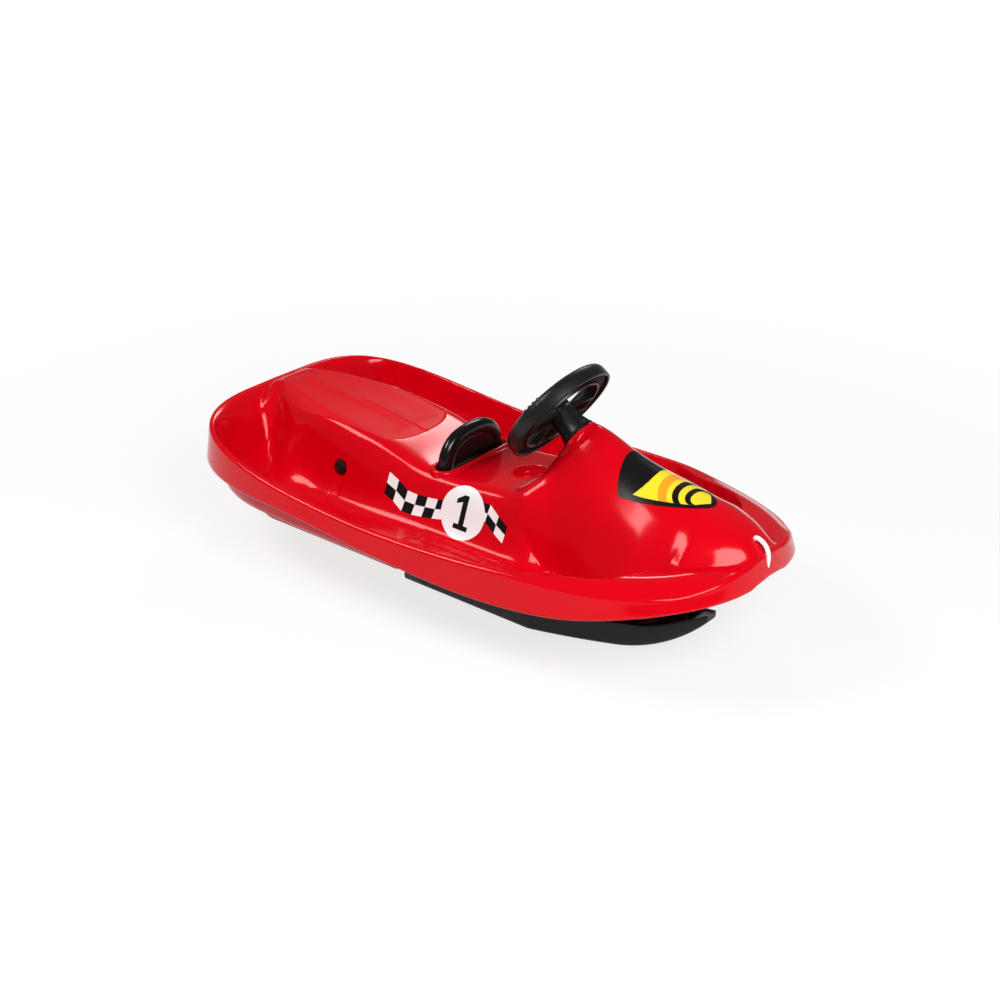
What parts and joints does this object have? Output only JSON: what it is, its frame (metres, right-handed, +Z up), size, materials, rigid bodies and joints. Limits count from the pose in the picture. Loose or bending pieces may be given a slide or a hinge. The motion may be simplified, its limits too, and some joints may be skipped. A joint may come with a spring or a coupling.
{
  "type": "steering sled",
  "caption": "Child's moulded plastic sled with a steering wheel that turns a wide front ski, a seat, two footwells and a pull-up claw brake.",
  "frame": {"origin": "on the ground under the middle of the hull", "axes": "+X to the nose, +Y to the rider's left, +Z up"},
  "size_m": [1, 0.53, 0.4008],
  "materials": {
    "red_plastic": "glossy moulded polyethylene",
    "black_plastic": "satin moulded plastic",
    "bush_plastic": "plain acetal",
    "steel": "zinc plated",
    "white_cord": "braided cord"
  },
  "bodies": {
    "hull": {"hull_shell": "red_plastic", "column_upper_bush": "bush_plastic", "column_lower_bush": "bush_plastic", "mast_lower_bush": "bush_plastic", "mast_upper_bush": "bush_plastic", "brake_axle": "steel", "axle_cap_left": "black_plastic", "axle_cap_right": "black_plastic", "tow_cord": "white_cord", "cord_knots": "white_cord"},
    "steering": {"steering_wheel": "black_plastic", "wheel_cap": "black_plastic", "wheel_bolt": "steel", "steering_rod": "steel", "rod_washer": "steel", "rod_clip": "steel"},
    "ski": {"front_ski": "black_plastic", "ski_mast": "steel", "mast_bolts": "steel", "mast_nuts": "steel", "thrust_washer": "bush_plastic", "tiller": "steel", "tiller_bolt": "steel", "tiller_nut": "steel"},
    "brake": {"brake_handle": "black_plastic", "brake_arm_left": "steel", "brake_arm_right": "steel", "brake_pivot_tube": "steel", "brake_claw": "steel", "handle_bolt": "steel", "handle_nut": "steel"}
  },
  "joints": [
    {"name": "wheel_turn", "type": "hinge", "parent": "hull", "child": "steering", "pos_m": [0.117, 0, 0.32], "axis": [0.8192, 0, -0.5736], "range_deg": [-28, 28]},
    {"name": "ski_turn", "type": "hinge", "parent": "hull", "child": "ski", "pos_m": [0.28271, 0, 0.1], "axis": [0, 0, -1], "range_deg": [-18.1, 18.1]},
    {"name": "brake_pull", "type": "hinge", "parent": "hull", "child": "brake", "pos_m": [-0.236, 0, 0.156], "axis": [0, -1, 0], "range_deg": [0, 16]}
  ],
  "couplings": [
    {"joint": "ski_turn", "follows": "wheel_turn", "ratio": 0.643}
  ]
}
